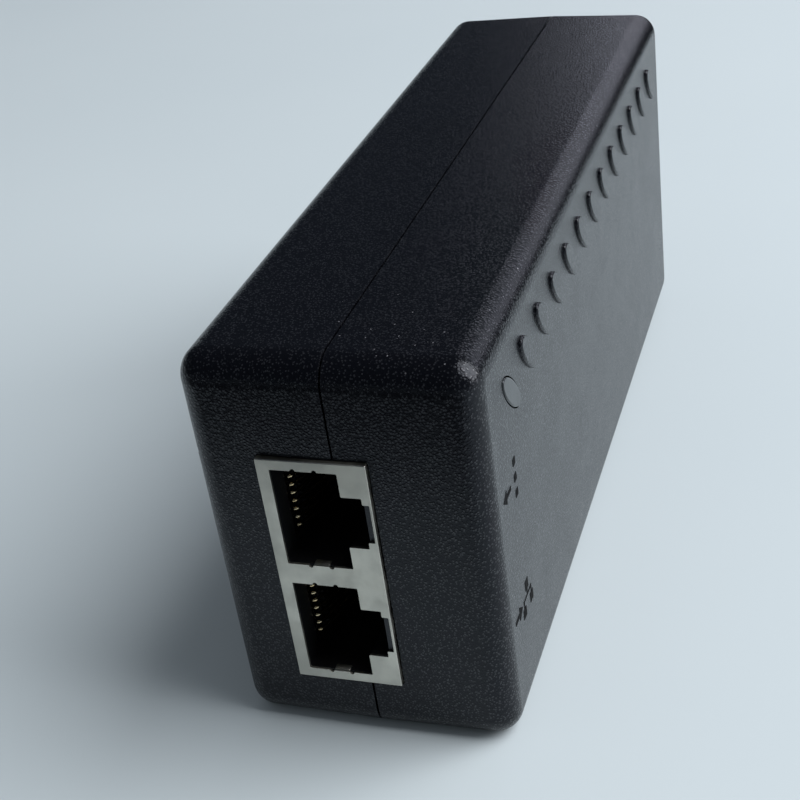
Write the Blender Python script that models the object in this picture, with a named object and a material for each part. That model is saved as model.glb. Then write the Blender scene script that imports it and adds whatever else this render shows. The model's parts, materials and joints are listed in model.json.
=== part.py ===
"""Power over Ethernet injector, standing on one long narrow side.

Two moulded half shells meet at a seam. The base shell is on the -X side of it, the cover
shell on the +X side. A shielded two-port jack looks out of the -Y end, a mains inlet out of
the +Y end, and a switched power supply on one circuit board fills the space between them.
Metres, +Z up. The origin is the middle of the footprint, on the surface it stands on.
"""
import math

import bmesh
import bpy
from mathutils import Vector

MM = 0.001
GAP = 0.3 * MM                      # clearance kept between pieces that touch

# Case
LENGTH = 106.8 * MM
HEIGHT = 46.67 * MM                 # across the two long narrow sides
BASE_DEPTH = 15.85 * MM             # seam to the base's outer face
COVER_DEPTH = 15.45 * MM            # seam to the cover's outer face
EDGE_RADIUS = 2.85 * MM
CORNER_RADIUS = 3.2 * MM
DRAFT = math.tan(math.radians(1.0))
WALL = 2.0 * MM
LIP_RISE = 1.2 * MM                 # how far the base's locating lip stands past the seam
LIP_WIDTH = 0.85 * MM
ARC_STEPS = 6                       # straight pieces in a quarter circle of the case

# Jack
PLATE_PROUD = 0.45 * MM             # how far the metal front stands out of the end wall
PLATE_X = (-8.24 * MM, 3.51 * MM)
PLATE_Z = (7.42 * MM, 35.76 * MM)
SHEET = 0.3 * MM
JACK_DEPTH = 16.5 * MM
PORT_PITCH = 14.23 * MM
PORT_HALF_WIDTH = 5.85 * MM
PORT_FLOOR = PLATE_X[0] + 1.42 * MM
PORT_TOP = PLATE_X[0] + 8.61 * MM
LATCH_HALF_WIDTH = 3.09 * MM
LATCH_TOP = PLATE_X[0] + 10.78 * MM
CATCH_HALF_WIDTH = 2.31 * MM
CATCH_TOP = PLATE_X[0] + 11.40 * MM
PORT_DEPTH = 13.0 * MM

# Spring contacts
WIRE_RADIUS = 0.23 * MM
WIRE_PITCH = 1.016 * MM
WIRES_PER_PORT = 8
WIRE_AXIS_X = -6.85 * MM
WIRE_AXIS_DEPTH = 3.75 * MM         # behind the end wall's outer face
WIRE_BEND = 0.5 * MM
WIRE_SLOPE = math.radians(22.0)
WIRE_REACH = 7.25 * MM

# Light and raised ovals on the cover
OVAL_LONG = 3.95 * MM               # half of the long axis
OVAL_SHORT = 1.39 * MM
OVAL_TURN = math.radians(-45.0)
OVAL_RISE = 0.4 * MM
OVAL_ROUND = 0.32 * MM
OVAL_PITCH = 7.14 * MM
OVAL_COUNT = 12
OVAL_Z = 38.3 * MM
LENS_DEPTH = 11.1 * MM
LENS_Z = 37.75 * MM
OVAL_SIDES = 24

# Circuit board
BOARD_TOP = PLATE_X[0] - GAP        # the face that carries the components
BOARD_THICK = 1.6 * MM
BOARD_Y = (2.6 * MM, 84.0 * MM)     # behind the end wall's outer face
BOARD_Z = (2.6 * MM, 43.9 * MM)
FOOT = BOARD_TOP + GAP              # where a component's underside is
POST_RADIUS = 3.0 * MM
SCREW_RADIUS = 1.1 * MM
POSTS = {"front": (21.5 * MM, 40.0 * MM), "rear": (80.0 * MM, 6.4 * MM)}

# Mains inlet
INLET_HALF_X = 9.9 * MM
INLET_HALF_Z = 13.3 * MM
INLET_LENGTH = 20.0 * MM
INLET_CAVITY_X = 8.2 * MM
INLET_CAVITY_Z = 12.1 * MM
INLET_CAVITY_DEPTH = 16.5 * MM
INLET_CHAMFER = 4.0 * MM
INLET_Z = HEIGHT / 2
PIN_SPREAD = 7.0 * MM
PIN_OFFSET = 2.0 * MM
PIN_BLADE = (4.0 * MM, 2.0 * MM)
PIN_REACH = 14.0 * MM

FRONT = -0.5 * (LENGTH - PLATE_PROUD)
BACK = FRONT + LENGTH
INLET_RIM = BACK - GAP
INLET_BACK = INLET_RIM - INLET_LENGTH
CAVITY_BACK = INLET_RIM - INLET_CAVITY_DEPTH
PORT_CENTRES = {
    "upper": 0.5 * sum(PLATE_Z) + 0.5 * PORT_PITCH,
    "lower": 0.5 * sum(PLATE_Z) - 0.5 * PORT_PITCH,
}

FINISHES = {
    "case_plastic": ((0.018, 0.019, 0.022), 0.5, 0.0),
    "tin_plate": ((0.62, 0.61, 0.56), 0.28, 1.0),
    "jack_plastic": ((0.012, 0.012, 0.013), 0.45, 0.0),
    "gold_wire": ((0.83, 0.66, 0.33), 0.25, 1.0),
    "light_guide": ((0.72, 0.75, 0.74), 0.3, 0.0),
    "inlet_plastic": ((0.014, 0.014, 0.015), 0.4, 0.0),
    "pin_metal": ((0.66, 0.66, 0.64), 0.25, 1.0),
    "circuit_board": ((0.03, 0.17, 0.08), 0.45, 0.0),
    "component_black": ((0.02, 0.02, 0.021), 0.5, 0.0),
    "can_sleeve": ((0.02, 0.03, 0.07), 0.35, 0.0),
    "ferrite": ((0.045, 0.045, 0.05), 0.6, 0.0),
    "winding_tape": ((0.75, 0.62, 0.12), 0.45, 0.0),
    "enamelled_copper": ((0.55, 0.2, 0.07), 0.35, 1.0),
    "heat_sink_metal": ((0.7, 0.71, 0.72), 0.4, 1.0),
    "film_yellow": ((0.72, 0.52, 0.06), 0.45, 0.0),
    "disc_blue": ((0.05, 0.16, 0.42), 0.45, 0.0),
    "insulating_paper": ((0.55, 0.53, 0.46), 0.8, 0.0),
    "screw_steel": ((0.55, 0.55, 0.56), 0.3, 1.0),
}


def behind_front(distance):
    """World Y of a place that far behind the end wall's outer face."""
    return FRONT + distance


def clear_scene():
    for obj in list(bpy.data.objects):
        bpy.data.objects.remove(obj, do_unlink=True)


def finish(name):
    """The Principled material of that name, made on its first use."""
    if name in bpy.data.materials:
        return bpy.data.materials[name]
    colour, roughness, metallic = FINISHES[name]
    material = bpy.data.materials.new(name)
    material.use_nodes = True
    shader = material.node_tree.nodes["Principled BSDF"]
    shader.inputs["Base Color"].default_value = (*colour, 1.0)
    shader.inputs["Roughness"].default_value = roughness
    shader.inputs["Metallic"].default_value = metallic
    return material


def mesh_object(name, bm, finish_name, smooth_degrees=35.0):
    """An object made from a bmesh, with outward faces and soft shading on its round sides."""
    bmesh.ops.recalc_face_normals(bm, faces=bm.faces)
    mesh = bpy.data.meshes.new(name)
    bm.to_mesh(mesh)
    bm.free()
    mesh.shade_smooth()
    mesh.set_sharp_from_angle(angle=math.radians(smooth_degrees))
    mesh.materials.append(finish(finish_name))
    obj = bpy.data.objects.new(name, mesh)
    bpy.context.collection.objects.link(obj)
    return obj


def loft(name, rings, finish_name, smooth_degrees=35.0):
    """A closed solid through a row of rings, each a list of points, with both ends capped."""
    bm = bmesh.new()
    rows = [[bm.verts.new(point) for point in ring] for ring in rings]
    sides = len(rings[0])
    for row, following in zip(rows, rows[1:]):
        for i in range(sides):
            j = (i + 1) % sides
            bm.faces.new((row[i], row[j], following[j], following[i]))
    bm.faces.new(rows[0])
    bm.faces.new(rows[-1])
    return mesh_object(name, bm, finish_name, smooth_degrees)


def block(name, low, high, finish_name, bevel=0.0):
    """A box between two corners, with its edges chamfered where bevel is given."""
    centre = (Vector(low) + Vector(high)) / 2
    size = Vector(high) - Vector(low)
    bm = bmesh.new()
    bmesh.ops.create_cube(bm, size=1.0)
    for vertex in bm.verts:
        vertex.co = Vector(a * b for a, b in zip(vertex.co, size))
    obj = mesh_object(name, bm, finish_name)
    obj.location = centre
    if bevel > 0:
        modifier = obj.modifiers.new("Bevel", "BEVEL")
        modifier.width = bevel
        modifier.segments = 1
    return obj


def drum(name, centre, radius, height, finish_name, sides=20, bevel=0.0):
    """A round solid that stands along +X from its centre of base."""
    steps = [(0.0, radius - bevel), (bevel, radius), (height - bevel, radius), (height, radius - bevel)]
    if bevel == 0:
        steps = [(0.0, radius), (height, radius)]
    rings = []
    for rise, ring_radius in steps:
        turns = [2 * math.pi * i / sides for i in range(sides)]
        rings.append([
            (centre[0] + rise, centre[1] + ring_radius * math.cos(t), centre[2] + ring_radius * math.sin(t))
            for t in turns
        ])
    return loft(name, rings, finish_name)


def extrude_along_y(name, outline, y_low, y_high, finish_name):
    """A solid with an XZ outline, carried along Y."""
    rings = [[(x, y, z) for x, z in outline] for y in (y_low, y_high)]
    return loft(name, rings, finish_name)


def extrude_along_z(name, outline, z_low, z_high, finish_name):
    """A solid with an XY outline, carried along Z."""
    rings = [[(x, y, z) for x, y in outline] for z in (z_low, z_high)]
    return loft(name, rings, finish_name)


def combine(target, tool, operation):
    """Cut the tool out of the target, or weld it on, and hide the tool."""
    tool.hide_render = True
    tool.display_type = "WIRE"
    modifier = target.modifiers.new(tool.name, "BOOLEAN")
    modifier.operation = operation
    modifier.solver = "EXACT"
    modifier.object = tool


def case_ring(x, inset):
    """The case's rounded outline at one X, moved in by inset. The long side that the case
    stands on is square to the seam, and the other three lean in by the draft."""
    lean = DRAFT * abs(x)
    y_low = FRONT + lean + inset
    y_high = BACK - lean - inset
    z_low = inset
    z_high = HEIGHT - lean - inset
    radius = max(CORNER_RADIUS - inset, 0.35 * MM)
    corners = [
        (y_high - radius, z_high - radius, 0.0),
        (y_low + radius, z_high - radius, 90.0),
        (y_low + radius, z_low + radius, 180.0),
        (y_high - radius, z_low + radius, 270.0),
    ]
    points = []
    for centre_y, centre_z, start in corners:
        for step in range(ARC_STEPS + 1):
            turn = math.radians(start + 90.0 * step / ARC_STEPS)
            points.append((x, centre_y + radius * math.cos(turn), centre_z + radius * math.sin(turn)))
    return points


def outer_profile(depth):
    """Distance from the seam and inset of the outer wall, from the big face to the seam."""
    steps = []
    for step in range(ARC_STEPS + 1):
        turn = math.radians(90.0 * step / ARC_STEPS)
        distance = depth - EDGE_RADIUS * (1.0 - math.cos(turn))
        steps.append((distance, EDGE_RADIUS * (1.0 - math.sin(turn))))
    steps.append((GAP / 2, 0.0))
    return steps


def half_shell(name, side, depth, rim):
    """One half of the case: outer wall, the rim's steps, and the inner wall and floor."""
    profile = outer_profile(depth) + rim + [(depth - WALL, WALL)]
    rings = [case_ring(side * distance, inset) for distance, inset in profile]
    return loft(name, rings, "case_plastic")


def oval_ring(x, centre_y, centre_z, inset):
    """A leaning oval on the cover, in the YZ plane."""
    points = []
    for i in range(OVAL_SIDES):
        turn = 2 * math.pi * i / OVAL_SIDES
        along = (OVAL_LONG - inset) * math.cos(turn)
        across = (OVAL_SHORT - inset) * math.sin(turn)
        y = centre_y + along * math.cos(OVAL_TURN) - across * math.sin(OVAL_TURN)
        z = centre_z + along * math.sin(OVAL_TURN) + across * math.cos(OVAL_TURN)
        points.append((x, y, z))
    return points


def port_outline(centre_z, grow=0.0, catch_top=CATCH_TOP):
    """The stepped opening that a plug and its latch pass through."""
    floor = PORT_FLOOR - grow
    widths = [
        (PORT_HALF_WIDTH + grow, floor, PORT_TOP + grow),
        (LATCH_HALF_WIDTH + grow, PORT_TOP + grow, LATCH_TOP + grow),
        (CATCH_HALF_WIDTH + grow, LATCH_TOP + grow, catch_top + grow),
    ]
    right = [(x, centre_z + half) for half, low, high in widths for x in (low, high)]
    left = [(x, centre_z - half) for half, low, high in reversed(widths) for x in (high, low)]
    return right + left


def cut_jack_mouth(shell, name):
    """The window in the end wall that the jack looks out of."""
    low = (PLATE_X[0] - GAP, FRONT - WALL, PLATE_Z[0] - GAP)
    high = (PLATE_X[1] + GAP, FRONT + 2 * WALL, PLATE_Z[1] + GAP)
    combine(shell, block(name, low, high, "case_plastic"), "DIFFERENCE")


def cut_inlet_mouth(shell, name):
    """The window in the far end wall that the inlet's rim fills."""
    reach_x = INLET_HALF_X + GAP
    reach_z = INLET_HALF_Z + GAP
    low = (-reach_x, BACK - 2 * WALL, INLET_Z - reach_z)
    high = (reach_x, BACK + WALL, INLET_Z + reach_z)
    combine(shell, block(name, low, high, "case_plastic"), "DIFFERENCE")


def build_base_shell():
    rim = [
        (GAP / 2, WALL - LIP_WIDTH),
        (-LIP_RISE, WALL - LIP_WIDTH),
        (-LIP_RISE, WALL),
    ]
    shell = half_shell("base_shell", -1, BASE_DEPTH, rim)
    floor = -BASE_DEPTH + WALL
    post_top = BOARD_TOP - BOARD_THICK - GAP
    for place, (distance, z) in POSTS.items():
        start = (floor - WALL / 2, behind_front(distance), z)
        post = drum(f"{place}_post_tool", start, POST_RADIUS, post_top - start[0], "case_plastic", 16)
        combine(shell, post, "UNION")
        hole_start = (floor, behind_front(distance), z)
        hole = drum(f"{place}_post_hole_tool", hole_start, SCREW_RADIUS + GAP, WALL * 3, "case_plastic", 12)
        combine(shell, hole, "DIFFERENCE")
    cut_jack_mouth(shell, "base_jack_window_tool")
    cut_inlet_mouth(shell, "base_inlet_window_tool")
    return shell


def build_cover_shell():
    rebate = WALL - LIP_WIDTH - GAP
    rim = [
        (GAP / 2, rebate),
        (LIP_RISE + GAP, rebate),
        (LIP_RISE + GAP, WALL),
    ]
    shell = half_shell("cover_shell", 1, COVER_DEPTH, rim)
    for number in range(1, OVAL_COUNT + 1):
        y = behind_front(LENS_DEPTH + OVAL_PITCH * number)
        rings = [
            oval_ring(COVER_DEPTH - WALL / 2, y, OVAL_Z, 0.0),
            oval_ring(COVER_DEPTH + OVAL_RISE - OVAL_ROUND, y, OVAL_Z, 0.0),
            oval_ring(COVER_DEPTH + OVAL_RISE - 0.3 * OVAL_ROUND, y, OVAL_Z, 0.3 * OVAL_ROUND),
            oval_ring(COVER_DEPTH + OVAL_RISE, y, OVAL_Z, OVAL_ROUND),
        ]
        combine(shell, loft(f"raised_oval_{number}_tool", rings, "case_plastic"), "UNION")
    y = behind_front(LENS_DEPTH)
    hole = [oval_ring(COVER_DEPTH - 2 * WALL, y, LENS_Z, 0.0), oval_ring(COVER_DEPTH + WALL, y, LENS_Z, 0.0)]
    combine(shell, loft("lens_hole_tool", hole, "case_plastic"), "DIFFERENCE")
    cut_jack_mouth(shell, "cover_jack_window_tool")
    cut_inlet_mouth(shell, "cover_inlet_window_tool")
    return shell


def build_light_guide():
    """A clear stem from the indicator on the board to an oval window in the cover."""
    stem_radius = 1.3 * MM
    centre_y = behind_front(LENS_DEPTH)
    head_foot = COVER_DEPTH - WALL - 1.0 * MM
    rings = []
    for x in (FOOT + 1.3 * MM, head_foot - 1.5 * MM):
        ring = []
        for i in range(OVAL_SIDES):
            turn = 2 * math.pi * i / OVAL_SIDES + OVAL_TURN
            ring.append((x, centre_y + stem_radius * math.cos(turn), LENS_Z + stem_radius * math.sin(turn)))
        rings.append(ring)
    rings.append(oval_ring(head_foot, centre_y, LENS_Z, GAP))
    rings.append(oval_ring(COVER_DEPTH - 0.05 * MM, centre_y, LENS_Z, GAP))
    rings.append(oval_ring(COVER_DEPTH + 0.15 * MM, centre_y, LENS_Z, GAP + 0.35 * MM))
    loft("light_guide", rings, "light_guide")
    half = 1.5 * MM
    low = (FOOT, centre_y - half, LENS_Z - half)
    high = (FOOT + 0.9 * MM, centre_y + half, LENS_Z + half)
    block("indicator_led", low, high, "light_guide")


def build_jack_shield():
    """Folded tin-plated sheet: a front with two openings, three sides and a back."""
    low = (PLATE_X[0], FRONT - PLATE_PROUD, PLATE_Z[0])
    high = (PLATE_X[1], FRONT + JACK_DEPTH, PLATE_Z[1])
    shield = block("jack_shield", low, high, "tin_plate")
    hollow_low = (low[0] - SHEET, low[1] + SHEET, low[2] + SHEET)
    hollow_high = (high[0] - SHEET, high[1] - SHEET, high[2] - SHEET)
    combine(shield, block("shield_hollow_tool", hollow_low, hollow_high, "tin_plate"), "DIFFERENCE")
    for place, centre_z in PORT_CENTRES.items():
        mouth = extrude_along_y(
            f"shield_{place}_mouth_tool", port_outline(centre_z), low[1] - SHEET, low[1] + 2 * SHEET, "tin_plate"
        )
        combine(shield, mouth, "DIFFERENCE")


def build_jack_housing():
    """The black moulding inside the shield, with two stepped cavities and a well for the contacts."""
    margin = SHEET + GAP
    low = (PLATE_X[0], FRONT - PLATE_PROUD + margin, PLATE_Z[0] + margin)
    high = (PLATE_X[1] - margin, FRONT + JACK_DEPTH - margin, PLATE_Z[1] - margin)
    housing = block("jack_housing", low, high, "jack_plastic")
    grow = 0.03 * MM
    for place, centre_z in PORT_CENTRES.items():
        outline = port_outline(centre_z, grow, PLATE_X[1])
        y_range = (FRONT - 2 * PLATE_PROUD, FRONT + PORT_DEPTH)
        cavity = extrude_along_y(f"housing_{place}_cavity_tool", outline, *y_range, "jack_plastic")
        combine(housing, cavity, "DIFFERENCE")
        well_low = (PLATE_X[0] + 0.29 * MM, behind_front(2.6 * MM), centre_z - 4.9 * MM)
        well_high = (PORT_FLOOR + 0.5 * MM, behind_front(12.8 * MM), centre_z + 4.9 * MM)
        well = block(f"housing_{place}_well_tool", well_low, well_high, "jack_plastic")
        combine(housing, well, "DIFFERENCE")


def build_contact_carrier(place, centre_z):
    """The moulding that the contacts' fixed ends are held in, with a stop behind their tips."""
    floor = PLATE_X[0] + 0.59 * MM
    top = floor + 0.65 * MM
    outline = [
        (floor, behind_front(5.1 * MM)),
        (top, behind_front(5.1 * MM)),
        (top, behind_front(12.0 * MM)),
        (-3.0 * MM, behind_front(12.0 * MM)),
        (-3.0 * MM, behind_front(12.5 * MM)),
        (floor, behind_front(12.5 * MM)),
    ]
    half = 4.5 * MM
    extrude_along_z(f"contact_carrier_{place}", outline, centre_z - half, centre_z + half, "jack_plastic")


def contact_points():
    """A contact's middle line as (x, y) from its hinge axis: a tail, a bend and a spring arm."""
    points = [(-WIRE_BEND, 0.65 * MM)]
    steps = 6
    for step in range(steps + 1):
        turn = math.radians(-90.0) - (math.pi - WIRE_SLOPE) * step / steps
        points.append((WIRE_BEND * math.sin(turn), WIRE_BEND * math.cos(turn)))
    last_x, last_y = points[-1]
    length = WIRE_REACH - last_y
    points.append((last_x + length * math.tan(WIRE_SLOPE), WIRE_REACH))
    return points


def build_contacts(place, centre_z):
    """Eight gold spring wires on an empty at the line where their bends give."""
    axis = bpy.data.objects.new(f"contact_axis_{place}", None)
    axis.location = (WIRE_AXIS_X, behind_front(WIRE_AXIS_DEPTH), centre_z)
    axis.empty_display_size = 5 * MM
    bpy.context.collection.objects.link(axis)
    for number in range(WIRES_PER_PORT):
        z = (number - (WIRES_PER_PORT - 1) / 2) * WIRE_PITCH
        curve = bpy.data.curves.new(f"contact_{place}_{number + 1}", "CURVE")
        curve.dimensions = "3D"
        curve.bevel_depth = WIRE_RADIUS
        curve.bevel_resolution = 1
        curve.use_fill_caps = True
        spline = curve.splines.new("POLY")
        route = contact_points()
        spline.points.add(len(route) - 1)
        for point, (x, y) in zip(spline.points, route):
            point.co = (x, y, z, 1.0)
        curve.materials.append(finish("gold_wire"))
        wire = bpy.data.objects.new(curve.name, curve)
        wire.parent = axis
        bpy.context.collection.objects.link(wire)


def inlet_cavity_outline():
    """The inlet's hollow: a rectangle with two corners cut off on the earth pin's side."""
    x = INLET_CAVITY_X
    z = INLET_CAVITY_Z
    cut = INLET_CHAMFER
    points = [(-x, -z), (x - cut, -z), (x, cut - z), (x, z - cut), (x - cut, z), (-x, z)]
    return [(px, INLET_Z + pz) for px, pz in points]


def build_inlet():
    low = (-INLET_HALF_X, INLET_BACK, INLET_Z - INLET_HALF_Z)
    high = (INLET_HALF_X, INLET_RIM, INLET_Z + INLET_HALF_Z)
    housing = block("inlet_housing", low, high, "inlet_plastic")
    wing_low = (-4.0 * MM, BACK - 3.9 * MM, low[2] - 1.2 * MM)
    wing_high = (4.0 * MM, BACK - 2.5 * MM, high[2] + 1.2 * MM)
    combine(housing, block("inlet_wing_tool", wing_low, wing_high, "inlet_plastic"), "UNION")
    cavity = extrude_along_y(
        "inlet_cavity_tool", inlet_cavity_outline(), CAVITY_BACK, INLET_RIM + WALL, "inlet_plastic"
    )
    combine(housing, cavity, "DIFFERENCE")
    places = {"live": (-PIN_OFFSET, PIN_SPREAD), "neutral": (-PIN_OFFSET, -PIN_SPREAD), "earth": (PIN_OFFSET, 0.0)}
    for pin, (x, z) in places.items():
        half_x = PIN_BLADE[0] / 2
        half_z = PIN_BLADE[1] / 2
        pin_low = (x - half_x, INLET_BACK - 2.0 * MM, INLET_Z + z - half_z)
        pin_high = (x + half_x, CAVITY_BACK + PIN_REACH, INLET_Z + z + half_z)
        block(f"inlet_pin_{pin}", pin_low, pin_high, "pin_metal", 0.5 * MM)
        slot_low = (pin_low[0] - GAP, INLET_BACK - WALL, pin_low[2] - GAP)
        slot_high = (pin_high[0] + GAP, CAVITY_BACK + WALL, pin_high[2] + GAP)
        slot = block(f"inlet_{pin}_slot_tool", slot_low, slot_high, "inlet_plastic")
        combine(housing, slot, "DIFFERENCE")


def build_board():
    low = (BOARD_TOP - BOARD_THICK, behind_front(BOARD_Y[0]), BOARD_Z[0])
    high = (BOARD_TOP, behind_front(BOARD_Y[1]), BOARD_Z[1])
    board = block("circuit_board", low, high, "circuit_board")
    sheet_low = (-BASE_DEPTH + WALL + 0.6 * MM, low[1] + 2 * MM, low[2] + 1.5 * MM)
    sheet_high = (sheet_low[0] + 0.4 * MM, high[1] - 2 * MM, high[2] - 1.5 * MM)
    sheet = block("insulating_sheet", sheet_low, sheet_high, "insulating_paper")
    for place, (distance, z) in POSTS.items():
        centre = (low[0] - WALL, behind_front(distance), z)
        hole = drum(f"board_{place}_hole_tool", centre, SCREW_RADIUS + GAP, 3 * WALL, "circuit_board", 12)
        combine(board, hole, "DIFFERENCE")
        clearance = drum(
            f"sheet_{place}_hole_tool",
            (sheet_low[0] - WALL, centre[1], z),
            POST_RADIUS + 2 * GAP,
            3 * WALL,
            "insulating_paper",
            16,
        )
        combine(sheet, clearance, "DIFFERENCE")
        shank_foot = (low[0] - 3.5 * MM, centre[1], z)
        screw = drum(f"board_screw_{place}", shank_foot, SCREW_RADIUS, 5.8 * MM, "screw_steel", 12)
        head = drum(f"screw_{place}_head_tool", (FOOT, centre[1], z), 2.2 * MM, 1.5 * MM, "screw_steel", 12)
        combine(screw, head, "UNION")


def standing_block(name, y_range, z_range, height, finish_name, lift=0.0, bevel=0.3):
    """A block component on the board. Its sizes are given in millimetres."""
    low = (FOOT + lift * MM, behind_front(y_range[0] * MM), z_range[0] * MM)
    high = (low[0] + height * MM, behind_front(y_range[1] * MM), z_range[1] * MM)
    return block(name, low, high, finish_name, bevel * MM)


def standing_drum(name, distance, z, radius, height, finish_name):
    """A round component on the board. Its sizes are given in millimetres."""
    centre = (FOOT, behind_front(distance * MM), z * MM)
    return drum(name, centre, radius * MM, height * MM, finish_name, 20, 0.4 * MM)


def build_block_components():
    # name, distance behind the front, z, height above the board, finish
    rows = [
        ("line_transformer_upper", (19.0, 32.0), (22.5, 35.5), 5.8, "component_black"),
        ("line_transformer_lower", (19.0, 32.0), (7.5, 20.5), 5.8, "component_black"),
        ("power_controller", (24.5, 30.5), (37.5, 42.5), 1.8, "component_black"),
        ("optocoupler", (54.0, 60.5), (38.0, 42.6), 3.5, "component_black"),
        ("mains_filter_capacitor", (68.0, 81.0), (36.5, 42.5), 12.0, "film_yellow"),
        ("bridge_rectifier", (64.5, 72.5), (8.0, 14.5), 3.2, "component_black"),
        ("safety_capacitor", (44.0, 50.0), (38.5, 41.5), 9.0, "disc_blue"),
        ("input_terminal", (81.8, 83.8), (15.5, 31.0), 7.0, "component_black"),
    ]
    for name, y_range, z_range, height, finish_name in rows:
        standing_block(name, y_range, z_range, height, finish_name)


def build_round_components():
    # name, distance behind the front, z, radius, height above the board, finish
    rows = [
        ("output_capacitor_upper", 37.0, 29.5, 4.0, 15.0, "can_sleeve"),
        ("output_capacitor_lower", 37.0, 20.3, 4.0, 15.0, "can_sleeve"),
        ("bulk_capacitor", 73.0, 21.9, 6.5, 19.0, "can_sleeve"),
        ("mains_fuse", 62.6, 40.2, 1.7, 8.0, "component_black"),
        ("surge_limiter", 72.8, 31.9, 3.0, 7.0, "component_black"),
    ]
    for name, distance, z, radius, height, finish_name in rows:
        standing_drum(name, distance, z, radius, height, finish_name)


def build_transformer():
    """A ferrite figure of eight with a wound coil on its middle leg, on a pinned base."""
    standing_block("transformer_base", (46.0, 64.0), (14.0, 34.0), 0.8, "component_black", bevel=0.0)
    core = standing_block("transformer_core", (46.0, 64.0), (19.0, 29.0), 17.0, "ferrite", 1.2, 0.0)
    for row, lift in (("near", 4.2), ("far", 12.2)):
        window = standing_block(
            f"core_{row}_window_tool", (48.5, 61.5), (17.0, 31.0), 3.0, "ferrite", lift, 0.0
        )
        combine(core, window, "DIFFERENCE")
    coil = standing_block("transformer_coil", (48.9, 61.1), (15.4, 32.6), 10.4, "winding_tape", 4.5, 0.6)
    middle = standing_block("coil_hole_tool", (47.0, 63.0), (18.7, 29.3), 5.6, "winding_tape", 6.9, 0.0)
    combine(coil, middle, "DIFFERENCE")


def ring_sector(name, inner, outer, half_height, start, sweep, finish_name):
    """Part of a flat ring that stands on edge on the board: its axis is along Z.
    A sweep of 360 degrees closes it."""
    centre_x = FOOT + 8.0 * MM
    centre_y = behind_front(40.0 * MM)
    centre_z = 8.6 * MM
    steps = 16
    bm = bmesh.new()
    section = [(inner, -half_height), (outer, -half_height), (outer, half_height), (inner, half_height)]
    whole = sweep >= 360.0
    rows = []
    for step in range(steps if whole else steps + 1):
        turn = math.radians(start + sweep * step / steps)
        rows.append([
            bm.verts.new((centre_x + r * math.cos(turn), centre_y + r * math.sin(turn), centre_z + z))
            for r, z in section
        ])
    pairs = list(zip(rows, rows[1:]))
    if whole:
        pairs.append((rows[-1], rows[0]))
    for row, following in pairs:
        for i in range(4):
            j = (i + 1) % 4
            bm.faces.new((row[i], row[j], following[j], following[i]))
    if not whole:
        bm.faces.new(rows[0])
        bm.faces.new(rows[-1])
    return mesh_object(name, bm, finish_name)


def build_output_choke():
    """A ferrite ring with two windings on it, which smooths the output."""
    inner = 3.2 * MM
    outer = 6.0 * MM
    half = 2.0 * MM
    ring_sector("output_choke_core", inner, outer, half, 0.0, 360.0, "ferrite")
    for side, start in (("left", 20.0), ("right", 200.0)):
        winding = ring_sector(
            f"output_choke_winding_{side}", inner - 1.2 * MM, outer + 1.2 * MM, half + 1.2 * MM,
            start, 140.0, "enamelled_copper",
        )
        room = ring_sector(
            f"choke_{side}_room_tool", inner - GAP, outer + GAP, half + GAP, 0.0, 360.0, "ferrite"
        )
        combine(winding, room, "DIFFERENCE")


def build_power_device(name, sink_name, y_range, z_low, facing):
    """A plastic power package with its metal tab, and the upright heat sink that it is fixed to."""
    sink_z = (z_low, z_low + 1.5)
    standing_block(sink_name, y_range, sink_z, 17.0, "heat_sink_metal", 0.5, 0.2)
    middle = sum(y_range) / 2
    if facing > 0:
        tab_z = (sink_z[1] + 0.3, sink_z[1] + 1.6)
        body_z = (tab_z[0], tab_z[0] + 4.4)
    else:
        tab_z = (sink_z[0] - 1.6, sink_z[0] - 0.3)
        body_z = (tab_z[1] - 4.4, tab_z[1])
    package = standing_block(name, (middle - 5.0, middle + 5.0), body_z, 9.0, "component_black", 2.0, 0.0)
    tab = standing_block(
        f"{name}_tab_tool", (middle - 5.0, middle + 5.0), tab_z, 6.0, "component_black", 10.5, 0.0
    )
    combine(package, tab, "UNION")


def main():
    clear_scene()
    build_base_shell()
    build_cover_shell()
    build_light_guide()
    build_jack_shield()
    build_jack_housing()
    for place, centre_z in PORT_CENTRES.items():
        build_contact_carrier(place, centre_z)
        build_contacts(place, centre_z)
    build_inlet()
    build_board()
    build_block_components()
    build_round_components()
    build_transformer()
    build_output_choke()
    build_power_device("switching_transistor", "primary_heat_sink", (48.0, 62.0), 4.2, 1)
    build_power_device("output_rectifier", "secondary_heat_sink", (32.5, 43.5), 40.5, -1)


main()
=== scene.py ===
# %% [markdown]
# # The looks of a power over Ethernet injector
# The real object is a black moulded box in two halves that stands on one long narrow side. A
# shielded two-port jack looks out of one end and a mains inlet out of the other. The CAD model
# gives every piece its place and size in metres. This script keeps that frame as it is and
# builds the visible skins, the metalwork and the finishes round it.

# %% Load the frame and note its size
import json

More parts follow.
